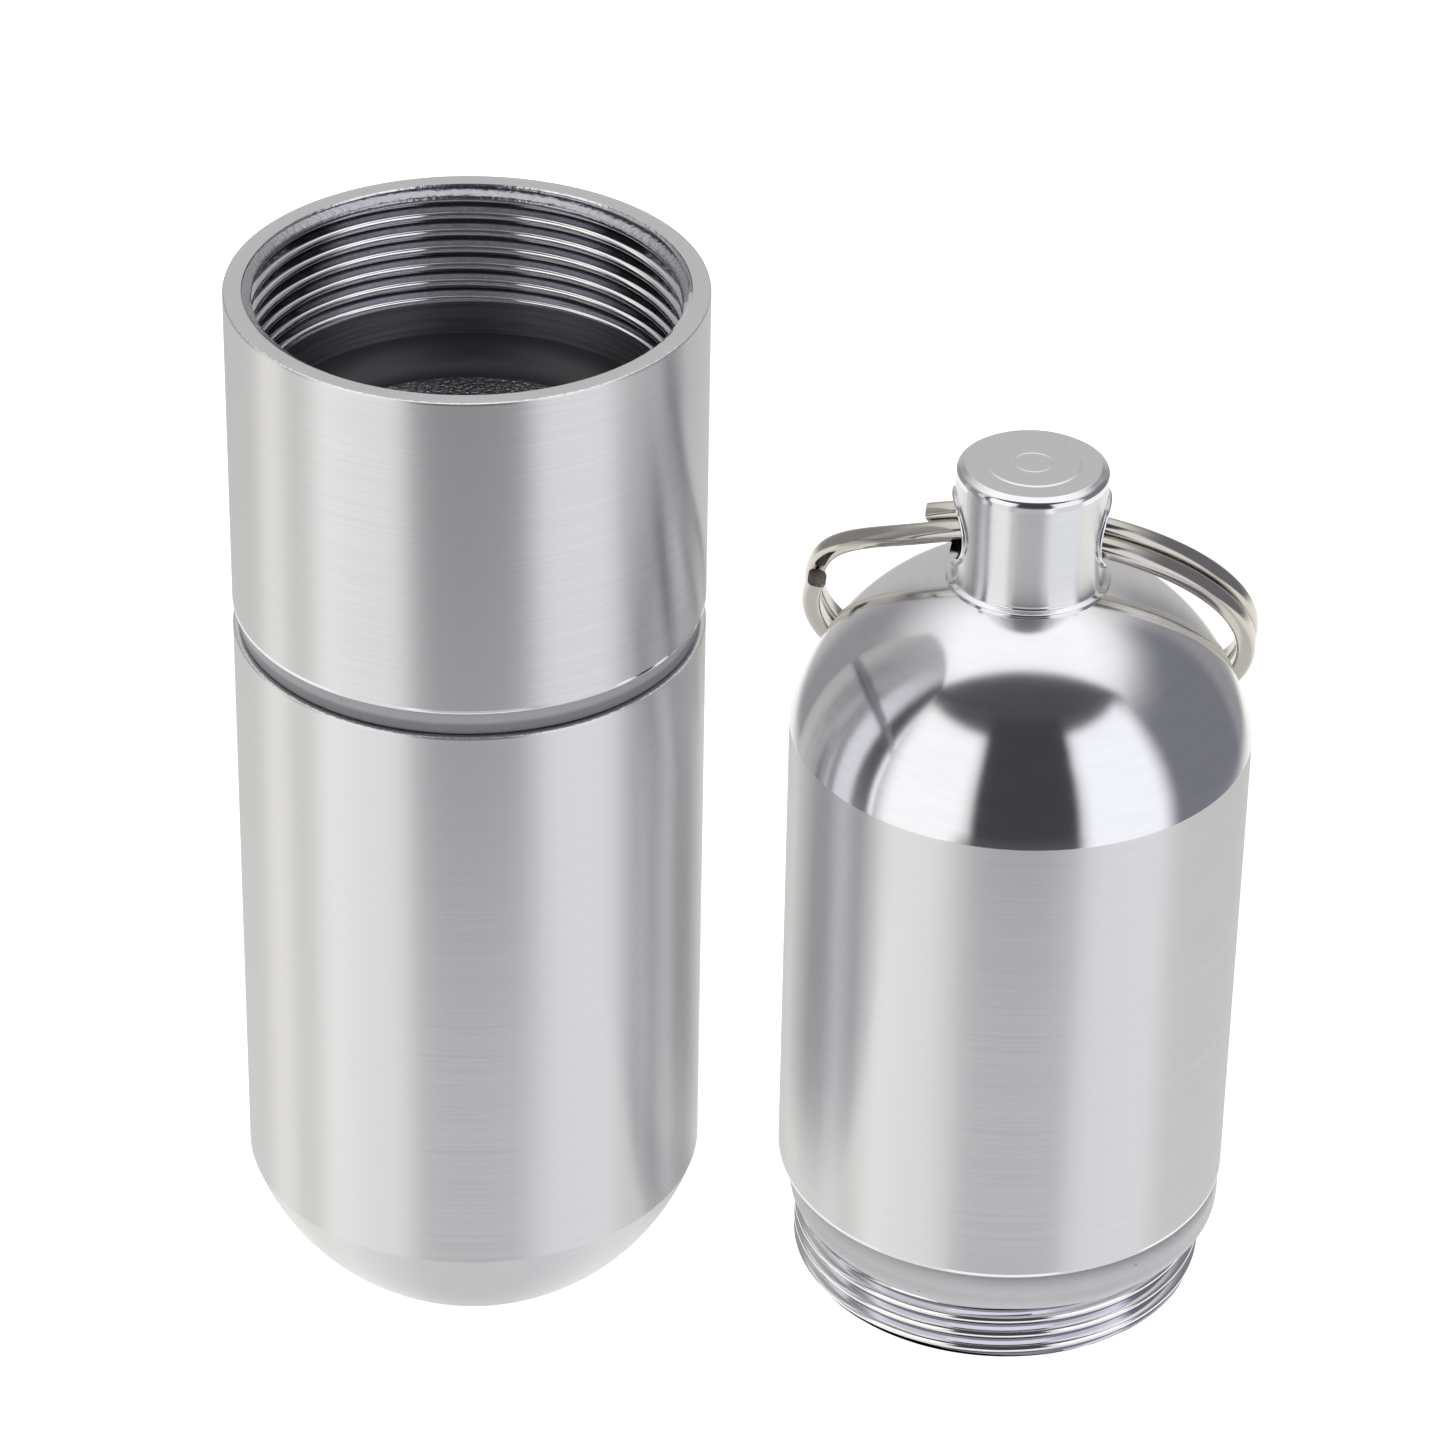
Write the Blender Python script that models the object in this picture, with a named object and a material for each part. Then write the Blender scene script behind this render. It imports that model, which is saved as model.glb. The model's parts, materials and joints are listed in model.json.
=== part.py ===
"""Two-chamber screw capsule with a key ring, in turned aluminium.

The lower capsule and the middle sleeve stand screwed together on the world's Z axis, with the centre of
the foot at the origin. The cap stands beside them on the end of its own thread, and its split ring leans
on its back. Every length is in metres.
"""

from math import acos, asin, cos, pi, radians, sin, sqrt, tau

import bmesh
import bpy
from mathutils import Matrix, Vector

MM = 0.001

# The bar that the three turned pieces are cut from, and how finely it is modelled.
BODY_RADIUS = 12.5 * MM
TURNED_STEPS = 36
ARC_STEPS = 8
SHARP_ANGLE = radians(30.0)

# One right-hand V thread, the same in both mouths and on both necks.
PITCH = 1.0 * MM
GROOVE_HALF_WIDTH = 0.45 * MM  # at the groove's open side
NECK_CREST_RADIUS = 11.5 * MM
NECK_ROOT_RADIUS = 10.85 * MM
MOUTH_BORE_RADIUS = 11.02 * MM
MOUTH_ROOT_RADIUS = 11.7 * MM
THREAD_STEPS = TURNED_STEPS  # a turn, so that the thread's facets meet the bar's
TOOL_OVERSHOOT = 0.05 * MM
TOOL_LEAD_TURNS = 2  # below a neck's end
RUN_OUT_TURNS = 0.25
RUN_OUT_START = 0.1  # of the full depth

# Mouths of the lower capsule and the sleeve.
LOWER_THREAD_LENGTH = 5.5 * MM
SLEEVE_THREAD_LENGTH = 6.45 * MM
MOUTH_LIP_RADIUS = 11.75 * MM
MOUTH_LEAD_IN = 0.75 * MM
RIM_ROUNDING = 0.12 * MM

# Necks of the sleeve and the cap: a groove for the silicone ring, then the thread.
NECK_LENGTH = 6.45 * MM
NECK_THREAD_LENGTH = 3.6 * MM
NECK_GROOVE_RADIUS = 9.9 * MM
NECK_BORE_RADIUS = 8.9 * MM
NECK_CHAMFER = 0.3 * MM

# Lower capsule: a cup with a domed end and a small flat foot.
DOME_EDGE_HEIGHT = 8.9 * MM
DOME_RADIUS = 13.1 * MM
DOME_WALL = 1.8 * MM
LOWER_RIM_HEIGHT = 42.5 * MM
SEAM_GAP = 1.4 * MM

# Middle sleeve: a shallow cup above a partition, and a hollow neck below it.
SLEEVE_RIM_HEIGHT = 62.0 * MM
CUP_DEPTH = 10.4 * MM
CUP_CORNER = 1.75 * MM
CORNER_STEPS = 4
PARTITION = 1.6 * MM

# Cap: a hollow barrel with a dome and a cross-drilled knob.
CAP_PLACE = Vector((29.57 * MM, 2.73 * MM, 0.0))
BARREL_TOP = 34.5 * MM
CAP_DOME_RISE = 10.0 * MM
CAP_BORE_TOP = 33.0 * MM
KNOB_RADIUS = 4.05 * MM
KNOB_TOP = 50.7 * MM
KNOB_CHAMFER = 0.35 * MM
KNOB_LIP_RADIUS = 4.4 * MM
KNOB_LIP_RISE = 0.25 * MM
RING_HOLE_RADIUS = 2.0 * MM
RING_HOLE_HEIGHT = 46.8 * MM
RING_HOLE_STEPS = 24
CAP_RIDGE_HEIGHT = 0.89 * MM  # a thread ridge's centre over +X, counted from the neck's end

# Silicone rings: the radius of the section's centre, and the sections' half widths and half heights.
SILICONE_RADIUS = 11.2 * MM
SEAM_SECTION = (0.95 * MM, 0.6 * MM)
CAP_SECTION = (0.95 * MM, 1.2 * MM)
CAP_SEAL_HEIGHT = 4.95 * MM
CAP_SEAL_SHIFT = Vector((0.26 * MM, -0.08 * MM, 0.0))  # it lies loose in its groove
SECTION_STEPS = 8

# Split ring: one wire in two layers, which cross over between its two ends.
WIRE_RADIUS = 0.52 * MM
WIRE_SIDES = 8
WIRE_STEP = radians(8.0)
COIL_RADIUS = 11.95 * MM
LAYER_OFFSET = 0.57 * MM
LOWER_END = radians(78.5)
UPPER_END = radians(30.0)
RING_INSET = 0.34 * MM  # how far the wire passes beyond the hole's centre
RING_SHIFT = 0.6 * MM
RING_LEAN = radians(54.0)
RING_ROLL = radians(7.0)


def clear_scene():
    for old in list(bpy.data.objects):
        bpy.data.objects.remove(old)


def make_material(name, colour, roughness, metallic):
    material = bpy.data.materials.new(name)
    material.use_nodes = True
    shader = material.node_tree.nodes["Principled BSDF"]
    shader.inputs["Base Color"].default_value = (*colour, 1.0)
    shader.inputs["Roughness"].default_value = roughness
    shader.inputs["Metallic"].default_value = metallic
    return material


def add_object(name, data, place, material=None):
    obj = bpy.data.objects.new(name, data)
    obj.location = place
    if material:
        data.materials.append(material)
    bpy.context.scene.collection.objects.link(obj)
    return obj


def add_mesh(name, bm, place, material=None):
    mesh = bpy.data.meshes.new(name)
    bm.to_mesh(mesh)
    bm.free()
    mesh.shade_smooth()
    mesh.set_sharp_from_angle(angle=SHARP_ANGLE)
    return add_object(name, mesh, place, material)


def carry(parent, child):
    """Parents the child and keeps its place in the world."""
    bpy.context.view_layer.update()
    child.parent = parent
    child.matrix_parent_inverse = parent.matrix_world.inverted()


def arc(centre_height, radius, start, end):
    """Points (distance from the axis, height) of an arc whose centre is on the axis."""
    angles = [start + (end - start) * i / ARC_STEPS for i in range(ARC_STEPS + 1)]
    return [(radius * cos(a), centre_height + radius * sin(a)) for a in angles]


def turned(name, outline, place, material, closed=False):
    """A solid of revolution. The outline runs down its outer side.

    An open outline starts and ends on the axis. A closed one goes round a section clear of it.
    """
    bm = bmesh.new()
    points = [bm.verts.new((r, 0.0, z)) for r, z in outline]
    following = points[1:] + points[:1] if closed else points[1:]
    for a, b in zip(points, following):
        bm.edges.new((a, b))
    obj = add_mesh(name, bm, place, material)
    screw = obj.modifiers.new("Turn", "SCREW")
    screw.steps = screw.render_steps = TURNED_STEPS
    screw.use_merge_vertices = True
    screw.merge_threshold = 0.00001
    return obj


def thread_tool(name, place, tip_radius, side_radius, start, end, run_out=False):
    """A helical V cutter whose tip climbs from start to end, both over +X.

    side_radius is that of the surface it cuts into. With run_out, the tip grows out of that surface
    over the first part of a turn, so that the groove fades there.
    """
    depth = tip_radius - side_radius
    base_radius = side_radius - (TOOL_OVERSHOOT if depth > 0.0 else -TOOL_OVERSHOOT)
    half_width = GROOVE_HALF_WIDTH * (tip_radius - base_radius) / depth
    turns = (end - start) / PITCH
    steps = round(turns * THREAD_STEPS)
    bm = bmesh.new()
    rows = []
    for i in range(steps + 1):
        turn = turns * i / steps
        share = min(1.0, RUN_OUT_START + turn / RUN_OUT_TURNS) if run_out else 1.0
        tip = base_radius + (tip_radius - base_radius) * share
        around = tau * turn
        height = start + PITCH * turn
        section = [(base_radius, -half_width), (tip, 0.0), (base_radius, half_width)]
        rows.append([bm.verts.new((r * cos(around), r * sin(around), height + z)) for r, z in section])
    for low, high in zip(rows, rows[1:]):
        for k in range(len(low)):
            after = (k + 1) % len(low)
            bm.faces.new((low[k], low[after], high[after], high[k]))
    bm.faces.new(rows[0])
    bm.faces.new(rows[-1])
    bmesh.ops.recalc_face_normals(bm, faces=bm.faces)
    return add_mesh(name, bm, place)


def cross_drill(name, radius, length, place):
    """A round cutter along X."""
    bm = bmesh.new()
    bmesh.ops.create_cone(
        bm, cap_ends=True, segments=RING_HOLE_STEPS, radius1=radius, radius2=radius, depth=length,
        matrix=Matrix.Rotation(pi / 2, 4, "Y"),
    )
    return add_mesh(name, bm, place)


def cut(obj, tool):
    """Cuts the tool out of the object, and keeps the tool out of the model."""
    tool.hide_render = True
    tool.display_type = "WIRE"
    boolean = obj.modifiers.new(tool.name, "BOOLEAN")
    boolean.operation = "DIFFERENCE"
    boolean.solver = "EXACT"
    boolean.object = tool


def cut_mouth_thread(obj, rim, length):
    """The internal thread, from its run-out in the bore up past the rim."""
    tool = thread_tool(
        obj.name + "_tap", obj.location, MOUTH_ROOT_RADIUS, MOUTH_BORE_RADIUS,
        rim - length, rim + PITCH, run_out=True,
    )
    cut(obj, tool)


def cut_neck_thread(obj, end, ridge_height):
    """The external thread, from below the neck's end up into the groove for the silicone ring.

    ridge_height is that of a ridge over +X, counted from the end.
    """
    first = end + ridge_height - (TOOL_LEAD_TURNS + 0.5) * PITCH
    last = first + NECK_THREAD_LENGTH + (TOOL_LEAD_TURNS + 1) * PITCH
    tool = thread_tool(
        obj.name + "_die", obj.location, NECK_ROOT_RADIUS, NECK_CREST_RADIUS, first, last
    )
    cut(obj, tool)


def mouth_outline(rim):
    """From the thread's bore up over the rim to the outer side."""
    return [
        (MOUTH_BORE_RADIUS, rim - MOUTH_LEAD_IN),
        (MOUTH_LIP_RADIUS, rim),
        (BODY_RADIUS - RIM_ROUNDING, rim),
        (BODY_RADIUS, rim - RIM_ROUNDING),
    ]


def neck_outline(shoulder):
    """From the outer side in under the shoulder, down the neck and up to its bore's lower edge."""
    end = shoulder - NECK_LENGTH
    thread_top = end + NECK_THREAD_LENGTH
    return [
        (BODY_RADIUS, shoulder + RIM_ROUNDING),
        (BODY_RADIUS - RIM_ROUNDING, shoulder),
        (NECK_GROOVE_RADIUS, shoulder),
        (NECK_GROOVE_RADIUS, thread_top + NECK_CHAMFER),
        (NECK_CREST_RADIUS - NECK_CHAMFER, thread_top),
        (NECK_CREST_RADIUS, thread_top - NECK_CHAMFER),
        (NECK_CREST_RADIUS, end + NECK_CHAMFER),
        (NECK_CREST_RADIUS - NECK_CHAMFER, end),
        (NECK_BORE_RADIUS, end),
    ]


def make_lower_capsule(material):
    centre = DOME_EDGE_HEIGHT + sqrt(DOME_RADIUS**2 - BODY_RADIUS**2)
    inner = DOME_RADIUS - DOME_WALL
    outline = [
        (0.0, centre - inner),
        *arc(centre, inner, -pi / 2, -acos(MOUTH_BORE_RADIUS / inner))[1:],
        *mouth_outline(LOWER_RIM_HEIGHT),
        *arc(centre, DOME_RADIUS, -acos(BODY_RADIUS / DOME_RADIUS), -asin(centre / DOME_RADIUS)),
        (0.0, 0.0),
    ]
    obj = turned("lower_capsule", outline, Vector(), material)
    cut_mouth_thread(obj, LOWER_RIM_HEIGHT, LOWER_THREAD_LENGTH)
    return obj


def make_middle_sleeve(material):
    floor = SLEEVE_RIM_HEIGHT - CUP_DEPTH
    shoulder = LOWER_RIM_HEIGHT + SEAM_GAP
    corner = [
        (
            MOUTH_BORE_RADIUS - CUP_CORNER * (1.0 - sin(a)),
            floor + CUP_CORNER * (1.0 - cos(a)),
        )
        for a in (pi / 2 * i / CORNER_STEPS for i in range(CORNER_STEPS + 1))
    ]
    outline = [
        (0.0, floor),
        *corner,
        *mouth_outline(SLEEVE_RIM_HEIGHT),
        *neck_outline(shoulder),
        (NECK_BORE_RADIUS, floor - PARTITION),
        (0.0, floor - PARTITION),
    ]
    obj = turned("middle_sleeve", outline, Vector(), material)
    cut_mouth_thread(obj, SLEEVE_RIM_HEIGHT, SLEEVE_THREAD_LENGTH)
    # The neck's ridges stand in the grooves of the lower capsule's mouth.
    end = shoulder - NECK_LENGTH
    cut_neck_thread(obj, end, (LOWER_RIM_HEIGHT - LOWER_THREAD_LENGTH - end) % PITCH)
    return obj


def make_cap_shell(material):
    dome = (BODY_RADIUS**2 + CAP_DOME_RISE**2) / (2 * CAP_DOME_RISE)
    centre = BARREL_TOP + CAP_DOME_RISE - dome
    lip_foot = centre + sqrt(dome**2 - KNOB_LIP_RADIUS**2)
    lip_top = lip_foot + KNOB_LIP_RISE
    outline = [
        (0.0, KNOB_TOP),
        (KNOB_RADIUS - KNOB_CHAMFER, KNOB_TOP),
        (KNOB_RADIUS, KNOB_TOP - KNOB_CHAMFER),
        (KNOB_RADIUS, lip_top + KNOB_LIP_RISE),
        (KNOB_LIP_RADIUS, lip_top),
        *arc(centre, dome, acos(KNOB_LIP_RADIUS / dome), acos(BODY_RADIUS / dome)),
        *neck_outline(NECK_LENGTH),
        *arc(CAP_BORE_TOP, NECK_BORE_RADIUS, 0.0, pi / 2)[:-1],
        (0.0, CAP_BORE_TOP + NECK_BORE_RADIUS),
    ]
    obj = turned("cap_shell", outline, CAP_PLACE, material)
    cut_neck_thread(obj, 0.0, CAP_RIDGE_HEIGHT)
    hole = CAP_PLACE + Vector((0.0, 0.0, RING_HOLE_HEIGHT))
    cut(obj, cross_drill("ring_hole", RING_HOLE_RADIUS, 3.0 * KNOB_RADIUS, hole))
    return obj


def make_silicone_ring(name, section, place, material):
    """A ring of oval section. Its outline runs down the outer side."""
    half_width, half_height = section
    angles = [tau * i / SECTION_STEPS for i in range(SECTION_STEPS)]
    outline = [(SILICONE_RADIUS + half_width * cos(a), -half_height * sin(a)) for a in angles]
    return turned(name, outline, place, material, closed=True)


def ring_layer(around):
    """The wire's offset across the ring: one layer, a smooth crossing, then the other layer."""
    crossing = UPPER_END + tau
    share = min(1.0, max(0.0, (around - crossing) / (LOWER_END - UPPER_END)))
    return LAYER_OFFSET * (2.0 * share * share * (3.0 - 2.0 * share) - 1.0)


def make_split_ring(material):
    """The wire, drawn about the cross hole's centre with the ring flat towards +Y."""
    start = LOWER_END
    end = UPPER_END + 2 * tau
    steps = round((end - start) / WIRE_STEP)
    curve = bpy.data.curves.new("split_ring", "CURVE")
    curve.dimensions = "3D"
    curve.bevel_depth = WIRE_RADIUS
    curve.bevel_resolution = WIRE_SIDES // 2 - 2
    curve.use_fill_caps = True
    spline = curve.splines.new("POLY")
    spline.points.add(steps)
    for i, point in enumerate(spline.points):
        around = start + (end - start) * i / steps
        x = RING_SHIFT - COIL_RADIUS * sin(around)
        y = COIL_RADIUS * (1.0 - cos(around)) - RING_INSET
        point.co = (x, y, ring_layer(around), 1.0)
    obj = add_object("split_ring", curve, CAP_PLACE + Vector((0.0, 0.0, RING_HOLE_HEIGHT)), material)
    obj.rotation_mode = "YXZ"
    obj.rotation_euler = (-RING_LEAN, RING_ROLL, 0.0)
    return obj


def make_silicone(name):
    return make_material(name, (0.72, 0.72, 0.73), 0.45, 0.0)


def main():
    clear_scene()
    make_lower_capsule(make_material("lower_aluminium", (0.78, 0.78, 0.79), 0.28, 1.0))
    sleeve = make_middle_sleeve(make_material("sleeve_aluminium", (0.74, 0.74, 0.76), 0.24, 1.0))
    place = Vector((0.0, 0.0, LOWER_RIM_HEIGHT + SEAM_GAP / 2))
    seam_ring = make_silicone_ring("seam_o_ring", SEAM_SECTION, place, make_silicone("seam_silicone"))
    carry(sleeve, seam_ring)

    cap = make_cap_shell(make_material("polished_aluminium", (0.80, 0.80, 0.82), 0.16, 1.0))
    place = CAP_PLACE + CAP_SEAL_SHIFT + Vector((0.0, 0.0, CAP_SEAL_HEIGHT))
    cap_ring = make_silicone_ring("cap_o_ring", CAP_SECTION, place, make_silicone("cap_silicone"))
    carry(cap, cap_ring)
    carry(cap, make_split_ring(make_material("nickel", (0.74, 0.72, 0.68), 0.14, 1.0)))


main()
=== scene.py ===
"""Looks of the two-chamber screw capsule: turned metal with real threads, silicone rings and a wire ring.

Every piece stands for the CAD node of the same name. Lengths are in metres, and MM turns millimetres into
them.
"""

import json
from math import acos, asin, ceil, cos, pi, radians, sin, sqrt, tan, tau

import bmesh
import bpy
from mathutils import Matrix, Vector


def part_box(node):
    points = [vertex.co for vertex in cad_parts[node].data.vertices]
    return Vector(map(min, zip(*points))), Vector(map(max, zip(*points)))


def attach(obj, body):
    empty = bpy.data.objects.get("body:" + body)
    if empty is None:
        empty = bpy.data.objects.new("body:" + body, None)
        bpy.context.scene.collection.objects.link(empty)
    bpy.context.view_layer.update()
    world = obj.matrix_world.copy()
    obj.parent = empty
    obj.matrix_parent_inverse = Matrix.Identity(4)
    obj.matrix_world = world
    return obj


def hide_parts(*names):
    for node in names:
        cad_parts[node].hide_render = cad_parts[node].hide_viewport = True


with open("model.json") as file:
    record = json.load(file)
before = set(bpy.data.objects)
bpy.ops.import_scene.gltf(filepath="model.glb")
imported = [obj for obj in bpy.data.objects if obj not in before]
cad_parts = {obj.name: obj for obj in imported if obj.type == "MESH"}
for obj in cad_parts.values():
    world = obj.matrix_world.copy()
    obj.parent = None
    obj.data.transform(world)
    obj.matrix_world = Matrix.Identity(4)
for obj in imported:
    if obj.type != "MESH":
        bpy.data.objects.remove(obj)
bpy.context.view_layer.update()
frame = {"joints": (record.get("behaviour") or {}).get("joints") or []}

MM = 0.001
MICRON = 0.001 * MM

# Sizes and places read from the frame.
lower_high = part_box("lower_capsule")[1]
sleeve_low, sleeve_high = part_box("middle_sleeve")
cap_low, cap_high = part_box("cap_shell")
seam_low, seam_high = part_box("seam_o_ring")
seal_low, seal_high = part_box("cap_o_ring")
swing = next(joint for joint in frame["joints"] if joint["name"] == "ring_swing")

BODY_RADIUS = lower_high.x
LOWER_RIM = lower_high.z
SLEEVE_RIM = sleeve_high.z
SLEEVE_END = sleeve_low.z
CAP_PLACE = Vector(((cap_low.x + cap_high.x) / 2, (cap_low.y + cap_high.y) / 2, 0.0))
KNOB_TOP = cap_high.z
RING_PIVOT = Vector(swing["pos_m"])

# Turning: columns round the axis, points across one thread, and steps in a rounded edge.
COLUMNS = 240
THREAD_POINTS = 20
EDGE_STEPS = 5
ARC_STEP = radians(2.5)
SHARP_ANGLE = radians(35.0)
EDGE = 0.12 * MM
WELD = 0.002 * MM
SUPPORT = 0.03 * MM  # extra rings this near to a rounded edge keep the flats flat

# Threads.
PITCH = 1.0 * MM
THREAD_ROOT_SHARE = 0.04  # of the pitch, each side of the groove's centre
THREAD_FLANK = radians(60.0)
THREAD_CREST = 0.24 * MM  # radius the crests are rounded to
THREAD_HIGHLIGHT_SHARE = 0.2  # of the pitch, each side of a crest, that is painted white, a painted highlight along the crests
MOUTH_BORE = 11.02 * MM
MOUTH_ROOT = 11.66 * MM
MOUTH_LIP = 11.75 * MM
MOUTH_LEAD_IN = 0.36 * MM
LOWER_THREAD = 5.5 * MM
SLEEVE_THREAD = 6.45 * MM
THREAD_FADE = 0.3 * MM
THREAD_RAGGED_TURNS = 1.3  # at the top, where the tool started
THREAD_SHADE_SHARE = 0.36  # of the pitch from a crest, past which the root is rougher and painted dark, a painted shade in the groove
THREAD_FOOT_SHARE = 0.35  # of the lowest turn, which has the bore's finish, painted dark as shade
NECK_CREST = 11.5 * MM
NECK_ROOT = 10.88 * MM
NECK_LENGTH = 6.45 * MM
NECK_THREAD = 3.6 * MM
NECK_CHAMFER = 0.3 * MM
NECK_GROOVE = 9.9 * MM
NECK_BORE = 8.9 * MM
CAP_GROOVE_HEIGHT = 0.39 * MM  # a groove's centre over +X

# Lower capsule and sleeve.
DOME_EDGE = 8.9 * MM
DOME_RADIUS = 13.1 * MM
DOME_WALL = 1.8 * MM
CUP_FLOOR = SLEEVE_RIM - 10.4 * MM
CUP_CORNER = 1.75 * MM
CUP_CORNER_STEPS = 12
PARTITION = 1.6 * MM

# Cap.
BARREL_TOP = 34.5 * MM
CAP_DOME_RISE = 10.0 * MM
CAP_BORE_TOP = 33.0 * MM
KNOB_RADIUS = 4.05 * MM
KNOB_CHAMFER = 0.45 * MM  # across, and KNOB_CHAMFER_DROP down
KNOB_CHAMFER_DROP = 0.28 * MM
KNOB_LIP = 4.4 * MM
KNOB_LIP_RISE = 0.17 * MM
KNOB_STEP_RADIUS = 2.45 * MM  # the facing tool's mark on the knob's end
KNOB_PIP_RADIUS = 1.0 * MM
KNOB_STEP = 0.05 * MM  # down
RING_HOLE = 2.0 * MM
RING_HOLE_BURR = 0.14 * MM
RING_HOLE_SIDES = 64
BURR_SIDES = 10

# Silicone rings.
SILICONE_WIDTH = 1.9 * MM  # of a ring's section
SILICONE_SIDES = 28
SEAM_SQUEEZE = 0.07 * MM  # the seam's ring is pressed out to fill the seam
SILICONE_SHADE = 0.15 * MM  # how gently the shade of a ring's lower half sets in

# Split ring.
WIRE_HALF = 0.52 * MM
WIRE_SQUARENESS = 3.4
WIRE_SIDES = 28
WIRE_STEP = radians(1.5)
COIL_RADIUS = 11.95 * MM
LAYER_OFFSET = 0.57 * MM
LOWER_END = radians(78.5)
UPPER_END = radians(30.0)
RING_INSET = 0.34 * MM
RING_SHIFT = 0.6 * MM
RING_LEAN = radians(54.0)
RING_ROLL = radians(7.0)

# Finishes off the lathe: colour, roughness, how much further reflections spread along the axis than round it,
# how close the marks are round the axis and along it (scales per metre), their depth, and how far their shade
# varies.
TURNED = {
    "satin": ((0.90, 0.90, 0.91), 0.35, 0.95, 30.0, 9000.0, 0.14 * MICRON, 0.03),
    "sleeve": ((0.90, 0.90, 0.91), 0.35, 0.96, 60.0, 8000.0, 0.30 * MICRON, 0.06),
    "polished": ((0.91, 0.91, 0.93), 0.12, 0.6, 350.0, 2600.0, 0.25 * MICRON, 0.03),
    "knob": ((0.93, 0.93, 0.94), 0.22, 0.95, 60.0, 7000.0, 0.08 * MICRON, 0.02),
    "cut": ((0.92, 0.92, 0.94), 0.10, 0.3, 60.0, 9000.0, 0.4 * MICRON, 0.03),
    # The crest's white colour is a painted highlight along the thread's crests.
    "thread_crest": ((1.0, 1.0, 1.0), 0.10, 0.3, 900.0, 4000.0, 6.0 * MICRON, 0.03),
    "thread_flank": ((0.84, 0.84, 0.89), 0.08, 0.3, 200.0, 5000.0, 1.0 * MICRON, 0.03),
    # The root's dark colour is painted shade in the thread's grooves.
    "thread_root": ((0.30, 0.30, 0.33), 0.15, 0.3, 200.0, 5000.0, 1.0 * MICRON, 0.03),
    # The bore's dark colour is painted shade inside the hollow pieces.
    "bored": ((0.24, 0.24, 0.26), 0.38, 0.85, 150.0, 5000.0, 1.0 * MICRON, 0.3),
    # The corner's near-black colour is painted shade where the cup's floor meets its wall.
    "corner": ((0.13, 0.13, 0.14), 0.50, 0.5, 150.0, 5000.0, 1.0 * MICRON, 0.03),
}
# Finishes faced off across an end, or left rough: colour, roughness, how close the rings are, their depth,
# and the share of it that is grain.
FACED = {
    "faced": ((0.90, 0.90, 0.93), 0.27, 1400.0, 0.15 * MICRON, 0.1),
    "burred": ((0.90, 0.90, 0.92), 0.18, 3000.0, 50.0 * MICRON, 0.9),
    "ragged": ((0.50, 0.50, 0.54), 0.20, 3000.0, 60.0 * MICRON, 0.9),
    "cup_floor": ((0.80, 0.80, 0.83), 0.25, 1500.0, 130.0 * MICRON, 0.97),
}
# The seam's ring is painted darker than the cap's, a painted shade in the seam between the metal parts.
SEAM_SILICONE_SHADED = (0.44, 0.44, 0.47)
CAP_SILICONE = (0.60, 0.60, 0.61)
DUST = (0.3, 0.3, 0.31)

# The floor, and a grey sheet that lies on it in front and is seen only in reflections, a painted shade of the
# floor further in front. The sheet's cover grows from near to far, within an angle either side of a line
# forwards from its centre.
FLOOR_HALF_WIDTH, FLOOR_FRONT, FLOOR_BACK, FLOOR_HEIGHT = 0.22, -0.16, 0.30, -0.02 * MM
FLOOR_GLOW = 0.85
SHEET_HALF_WIDTH, SHEET_FRONT, SHEET_BACK, SHEET_HEIGHT = 0.35, -0.45, -0.03, 0.01 * MM
SHEET_CENTRE, SHEET_ANGLE, SHEET_NEAR, SHEET_FAR = 15.0 * MM, 28.0, 35.0 * MM, 95.0 * MM
SHEET_BLUR = 6.0
SHEET_COVER = 0.6
# The sheet's dim glow paints the floor's shade in reflections.
SHEET_SHADE = (0.12, 0.12, 0.125)

# The light tent, from the camera's side: the low light, the light overhead with where it sets in, then the
# panels, each with its left, right, low and high edges in degrees, how soft its side and end edges are, and
# the light from it. Later panels lie over earlier ones.
LOW_LIGHT = (0.30, 0.30, 0.31)
HIGH_LIGHT = (1.05, 1.05, 1.05)
HIGH_LIGHT_FROM, HIGH_LIGHT_FULL = 18.0, 66.0
UNDER = -100.0
PANELS = (
    (-200.0, -152.0, UNDER, 60.0, 9.0, 9.0, (0.52, 0.51, 0.50)),
    (152.0, 200.0, UNDER, 60.0, 9.0, 9.0, (0.52, 0.51, 0.50)),
    (74.0, 132.0, UNDER, 38.0, 5.0, 14.0, (0.19, 0.19, 0.22)),
    (-106.0, -89.0, UNDER, 50.0, 4.0, 8.0, (0.85, 0.84, 0.80)),
)
FRONT_PANELS = (
    (-71.0, -25.0, UNDER, 44.5, 7.0, 2.5, (1.04, 1.03, 1.03)),
    (28.0, 73.0, UNDER, 45.5, 7.0, 2.5, (1.00, 1.00, 1.05)),
    (-23.6, 26.5, UNDER, 54.0, 2.5, 2.0, (0.054, 0.053, 0.060)),
)
# A dark board overhead: its edges are how far it is across and forward for each step up.
BOARD = (-1.05, 1.05, 0.185, 1.4, 0.12, 0.03)
BOARD_LIGHT = (0.072, 0.070, 0.078)
BOARD_FROM, BOARD_FULL = 30.0, 40.0
# The table, which the lowest light comes from: left and right edges, how soft they are, and the light.
TABLE_EDGE, TABLE_BLUR = -22.0, 4.0
TABLE_LIGHT = (1.0, 0.99, 0.95)
TABLE_PATCHES = (
    (-66.0, -27.0, 3.0, (0.80, 0.80, 0.80)),
    (-27.0, 31.0, 3.0, (0.97, 0.97, 0.99)),
    (31.0, 80.0, 4.0, (0.70, 0.71, 0.73)),
)
# Straight down the table is painted darker, a painted shadow where the object stands, seen in its
# reflections.
NEAR_TABLE_SHADOW = (0.66, 0.66, 0.65)
NEAR_TABLE_FULL, NEAR_TABLE_TO = -80.0, -45.0

# Camera.
CAMERA_PLACE = Vector((13.47, -262.89, 200.87)) * MM
CAMERA_DOWN = radians(32.106)
CAMERA_ROLL = radians(1.07)
CAMERA_LENS = 144.5


# ---------------------------------------------------------------- shader helpers

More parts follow.
